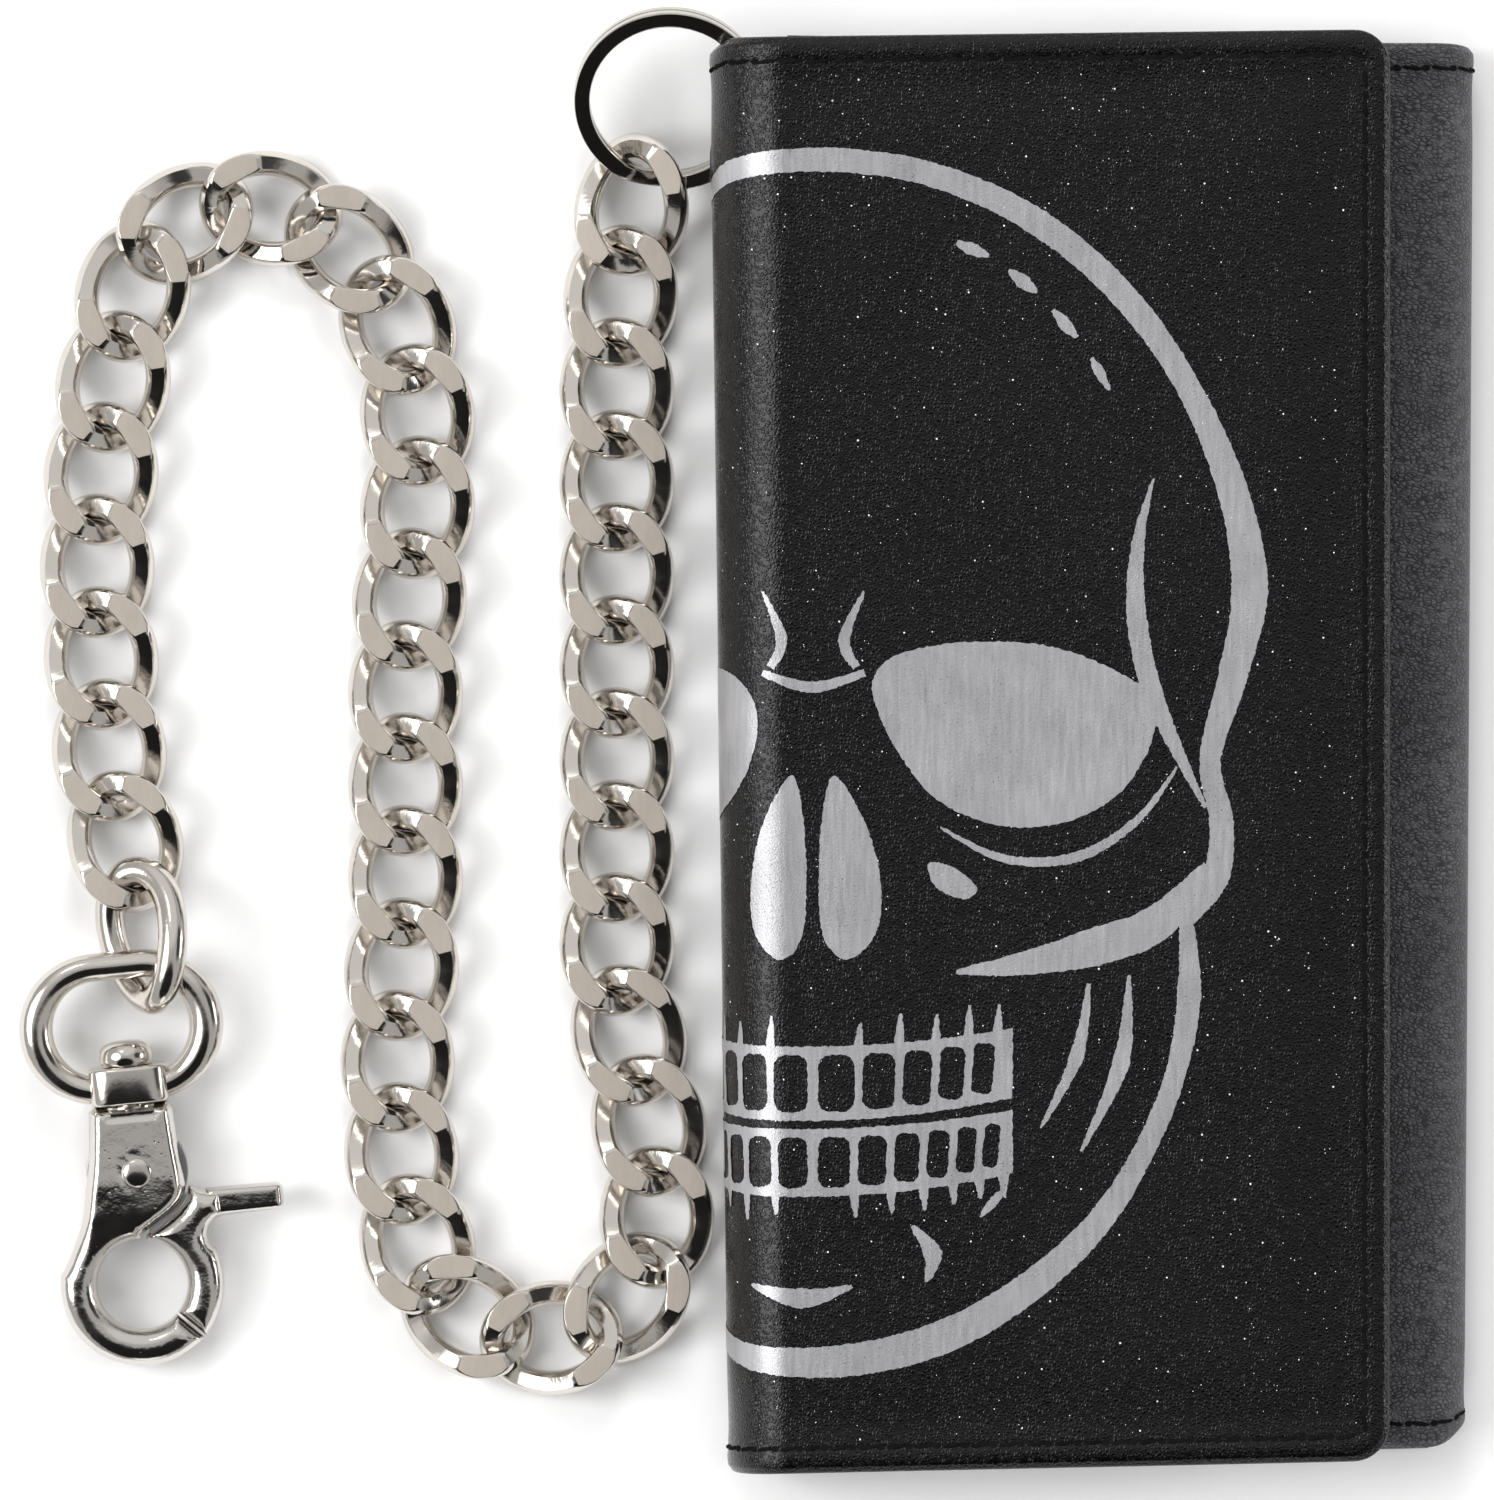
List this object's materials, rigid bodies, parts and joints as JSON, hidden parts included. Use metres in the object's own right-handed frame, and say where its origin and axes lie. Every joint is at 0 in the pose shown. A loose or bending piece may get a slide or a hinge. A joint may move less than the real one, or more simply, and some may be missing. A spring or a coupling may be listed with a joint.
{
  "type": "chain wallet",
  "caption": "Long folding leather wallet with card slots, coin pocket, split ring, curb chain and swivel trigger clasp.",
  "frame": {"origin": "middle of the wallet's back, on the surface that it lies on", "axes": "+X across the wallet from the chain side to the open side, +Y up the wallet towards the ring, +Z out of its front"},
  "size_m": [0.181, 0.1825, 0.019],
  "materials": {
    "leather": "fine grain, satin",
    "lining": "matte",
    "window": "clear",
    "nickel": "polished nickel",
    "steel": "satin"
  },
  "bodies": {
    "root": {"back_cover": "leather", "left_spine": "leather", "right_spine": "leather", "eyelet": "nickel", "back_lining": "lining", "back_card_slots": "leather"},
    "flap": {"flap_cover": "leather", "flap_lining": "lining", "flap_card_slots": "leather", "id_window": "window", "flap_magnets": "steel"},
    "inner": {"inner_cover": "leather", "inner_card_slots": "leather", "inner_plates": "steel", "coin_pocket": "leather", "zip_tape": "lining"},
    "slider": {"zip_slider": "nickel"},
    "ring": {"split_ring": "nickel"},
    "chain_01": {"link_01": "nickel"},
    "chain_02": {"link_02": "nickel"},
    "chain_03": {"link_03": "nickel"},
    "chain_04": {"link_04": "nickel"},
    "chain_05": {"link_05": "nickel"},
    "chain_06": {"link_06": "nickel"},
    "chain_07": {"link_07": "nickel"},
    "chain_08": {"link_08": "nickel"},
    "chain_09": {"link_09": "nickel"},
    "chain_10": {"link_10": "nickel"},
    "chain_11": {"link_11": "nickel"},
    "chain_12": {"link_12": "nickel"},
    "chain_13": {"link_13": "nickel"},
    "chain_14": {"link_14": "nickel"},
    "chain_15": {"link_15": "nickel"},
    "chain_16": {"link_16": "nickel"},
    "chain_17": {"link_17": "nickel"},
    "chain_18": {"link_18": "nickel"},
    "chain_19": {"link_19": "nickel"},
    "chain_20": {"link_20": "nickel"},
    "chain_21": {"link_21": "nickel"},
    "chain_22": {"link_22": "nickel"},
    "chain_23": {"link_23": "nickel"},
    "chain_24": {"link_24": "nickel"},
    "chain_25": {"link_25": "nickel"},
    "chain_26": {"link_26": "nickel"},
    "chain_27": {"link_27": "nickel"},
    "chain_28": {"link_28": "nickel"},
    "chain_29": {"link_29": "nickel"},
    "chain_30": {"link_30": "nickel"},
    "chain_31": {"link_31": "nickel"},
    "chain_32": {"link_32": "nickel"},
    "chain_33": {"link_33": "nickel"},
    "chain_34": {"link_34": "nickel"},
    "chain_35": {"link_35": "nickel"},
    "chain_36": {"link_36": "nickel"},
    "connector": {"connector_link": "nickel"},
    "eye": {"swivel_eye": "nickel"},
    "clasp": {"clasp_body": "nickel", "clasp_rivet": "nickel", "clasp_spring": "steel"},
    "gate": {"clasp_trigger": "nickel"}
  },
  "joints": [
    {"name": "flap_fold", "type": "hinge", "parent": "root", "child": "flap", "pos_m": [-0.04546, 0, 0.01696], "axis": [0, -1, 0], "range_deg": [0, 170]},
    {"name": "inner_fold", "type": "hinge", "parent": "root", "child": "inner", "pos_m": [0.0464, 0, 0.0091], "axis": [0, 1, 0], "range_deg": [0, 37.4]},
    {"name": "zip_slide", "type": "slide", "parent": "inner", "child": "slider", "axis": [0, 1, 0], "range_m": [0, 0.09]},
    {"name": "gate_pivot", "type": "hinge", "parent": "clasp", "child": "gate", "pos_m": [-0.1195, -0.05284, 0.00433], "axis": [0.0054, -0.0556, 0.9984], "range_deg": [0, 25], "stiffness_Nm_per_rad": 0.02, "springref_deg": -17.19},
    {"name": "clasp_swivel", "type": "hinge", "parent": "eye", "child": "clasp", "pos_m": [-0.12047, -0.0429, 0.00489], "axis": [-0.0974, 0.9937, 0.0558], "continuous": true},
    {"name": "ring_swing", "type": "hinge", "parent": "root", "child": "ring", "pos_m": [-0.045, 0.074, 0.0045], "axis": [0, -1, 0], "range_deg": [-12, 0]},
    {"name": "joint_00", "type": "hinge", "parent": "ring", "child": "chain_01", "pos_m": [-0.0564, 0.0739, 0.0037], "axis": [0, 0, -1], "range_deg": [0, 20]},
    {"name": "joint_01", "type": "hinge", "parent": "chain_01", "child": "chain_02", "pos_m": [-0.05841, 0.06248, 0.0026], "axis": [0, 0, -1], "range_deg": [0, 20]},
    {"name": "joint_02", "type": "hinge", "parent": "chain_02", "child": "chain_03", "pos_m": [-0.05942, 0.05092, 0.0026], "axis": [0, 0, -1], "range_deg": [0, 15]},
    {"name": "joint_03", "type": "hinge", "parent": "chain_03", "child": "chain_04", "pos_m": [-0.05942, 0.03932, 0.0026], "axis": [0, 0, -1], "range_deg": [0, 15]},
    {"name": "joint_04", "type": "hinge", "parent": "chain_04", "child": "chain_05", "pos_m": [-0.05942, 0.02772, 0.0026], "axis": [0, 0, -1], "range_deg": [0, 15]},
    {"name": "joint_05", "type": "hinge", "parent": "chain_05", "child": "chain_06", "pos_m": [-0.05942, 0.01612, 0.0026], "axis": [0, 0, -1], "range_deg": [0, 12]},
    {"name": "joint_06", "type": "hinge", "parent": "chain_06", "child": "chain_07", "pos_m": [-0.05942, 0.00452, 0.0026], "axis": [0, 0, -1], "range_deg": [0, 10]},
    {"name": "joint_07", "type": "hinge", "parent": "chain_07", "child": "chain_08", "pos_m": [-0.05942, -0.00708, 0.0026], "axis": [0, 0, -1], "range_deg": [0, 8]},
    {"name": "joint_08", "type": "hinge", "parent": "chain_08", "child": "chain_09", "pos_m": [-0.05942, -0.01868, 0.0026], "axis": [0, 0, -1], "range_deg": [0, 8]},
    {"name": "joint_09", "type": "hinge", "parent": "chain_09", "child": "chain_10", "pos_m": [-0.05942, -0.03028, 0.0026], "axis": [0, 0, -1], "range_deg": [0, 6]},
    {"name": "joint_10", "type": "hinge", "parent": "chain_10", "child": "chain_11", "pos_m": [-0.05642, -0.04148, 0.0026], "axis": [0, 0, -1], "range_deg": [0, 5]},
    {"name": "joint_11", "type": "hinge", "parent": "chain_11", "child": "chain_12", "pos_m": [-0.05441, -0.05291, 0.0026], "axis": [0, 0, -1], "range_deg": [0, 4]},
    {"name": "joint_12", "type": "hinge", "parent": "chain_12", "child": "chain_13", "pos_m": [-0.05441, -0.06451, 0.0026], "axis": [0, 0, 1], "range_deg": [0, 30]},
    {"name": "joint_13", "type": "hinge", "parent": "chain_13", "child": "chain_14", "pos_m": [-0.06187, -0.07339, 0.0026], "axis": [0, 0, 1], "range_deg": [0, 30]},
    {"name": "joint_14", "type": "hinge", "parent": "chain_14", "child": "chain_15", "pos_m": [-0.07342, -0.0744, 0.0026], "axis": [0, 0, 1], "range_deg": [0, 30]},
    {"name": "joint_15", "type": "hinge", "parent": "chain_15", "child": "chain_16", "pos_m": [-0.08292, -0.06775, 0.0026], "axis": [0, 0, 1], "range_deg": [0, 30]},
    {"name": "joint_16", "type": "hinge", "parent": "chain_16", "child": "chain_17", "pos_m": [-0.08593, -0.05655, 0.0026], "axis": [0, 0, 1], "range_deg": [0, 30]},
    {"name": "joint_17", "type": "hinge", "parent": "chain_17", "child": "chain_18", "pos_m": [-0.08694, -0.04499, 0.0026], "axis": [0, 0, 1], "range_deg": [0, 20]},
    {"name": "joint_18", "type": "hinge", "parent": "chain_18", "child": "chain_19", "pos_m": [-0.08694, -0.03339, 0.0026], "axis": [0, 0, 1], "range_deg": [0, 15]},
    {"name": "joint_19", "type": "hinge", "parent": "chain_19", "child": "chain_20", "pos_m": [-0.08593, -0.02184, 0.0026], "axis": [0, 0, 1], "range_deg": [0, 10]},
    {"name": "joint_20", "type": "hinge", "parent": "chain_20", "child": "chain_21", "pos_m": [-0.08593, -0.01023, 0.0026], "axis": [0, 0, -1], "range_deg": [0, 10]},
    {"name": "joint_21", "type": "hinge", "parent": "chain_21", "child": "chain_22", "pos_m": [-0.08593, 0.00136, 0.0026], "axis": [0, 0, -1], "range_deg": [0, 12]},
    {"name": "joint_22", "type": "hinge", "parent": "chain_22", "child": "chain_23", "pos_m": [-0.08593, 0.01297, 0.0026], "axis": [0, 0, -1], "range_deg": [0, 15]},
    {"name": "joint_23", "type": "hinge", "parent": "chain_23", "child": "chain_24", "pos_m": [-0.08491, 0.02452, 0.0026], "axis": [0, 0, -1], "range_deg": [0, 20]},
    {"name": "joint_24", "type": "hinge", "parent": "chain_24", "child": "chain_25", "pos_m": [-0.0839, 0.03608, 0.0026], "axis": [0, 0, -1], "range_deg": [0, 25]},
    {"name": "joint_25", "type": "hinge", "parent": "chain_25", "child": "chain_26", "pos_m": [-0.08491, 0.04763, 0.0026], "axis": [0, 0, -1], "range_deg": [0, 30]},
    {"name": "joint_26", "type": "hinge", "parent": "chain_26", "child": "chain_27", "pos_m": [-0.08888, 0.05853, 0.0026], "axis": [0, 0, -1], "range_deg": [0, 30]},
    {"name": "joint_27", "type": "hinge", "parent": "chain_27", "child": "chain_28", "pos_m": [-0.09708, 0.06674, 0.0026], "axis": [0, 0, -1], "range_deg": [0, 30]},
    {"name": "joint_28", "type": "hinge", "parent": "chain_28", "child": "chain_29", "pos_m": [-0.10851, 0.06875, 0.0026], "axis": [0, 0, -1], "range_deg": [0, 30]},
    {"name": "joint_29", "type": "hinge", "parent": "chain_29", "child": "chain_30", "pos_m": [-0.11855, 0.06295, 0.0026], "axis": [0, 0, -1], "range_deg": [0, 30]},
    {"name": "joint_30", "type": "hinge", "parent": "chain_30", "child": "chain_31", "pos_m": [-0.12156, 0.05174, 0.0026], "axis": [0, 0, -1], "range_deg": [0, 12]},
    {"name": "joint_31", "type": "hinge", "parent": "chain_31", "child": "chain_32", "pos_m": [-0.12357, 0.04032, 0.0026], "axis": [0, 0, -1], "range_deg": [0, 12]},
    {"name": "joint_32", "type": "hinge", "parent": "chain_32", "child": "chain_33", "pos_m": [-0.12458, 0.02876, 0.0026], "axis": [0, 0, -1], "range_deg": [0, 12]},
    {"name": "joint_33", "type": "hinge", "parent": "chain_33", "child": "chain_34", "pos_m": [-0.12458, 0.01716, 0.0026], "axis": [0, 0, -1], "range_deg": [0, 12]},
    {"name": "joint_34", "type": "hinge", "parent": "chain_34", "child": "chain_35", "pos_m": [-0.12357, 0.00561, 0.0026], "axis": [0, 0, -1], "range_deg": [0, 12]},
    {"name": "joint_35", "type": "hinge", "parent": "chain_35", "child": "chain_36", "pos_m": [-0.12256, -0.00595, 0.0026], "axis": [0, 0, -1], "range_deg": [0, 12]},
    {"name": "joint_36", "type": "hinge", "parent": "chain_36", "child": "connector", "pos_m": [-0.11956, -0.01715, 0.0026], "axis": [0, 0, -1], "range_deg": [0, 25]},
    {"name": "joint_37", "type": "hinge", "parent": "connector", "child": "eye", "pos_m": [-0.11736, -0.02921, 0.0026], "axis": [0, 0, -1], "range_deg": [0, 20]}
  ],
  "couplings": [
    {"joint": "inner_fold", "follows": "flap_fold", "ratio": 0.22}
  ]
}
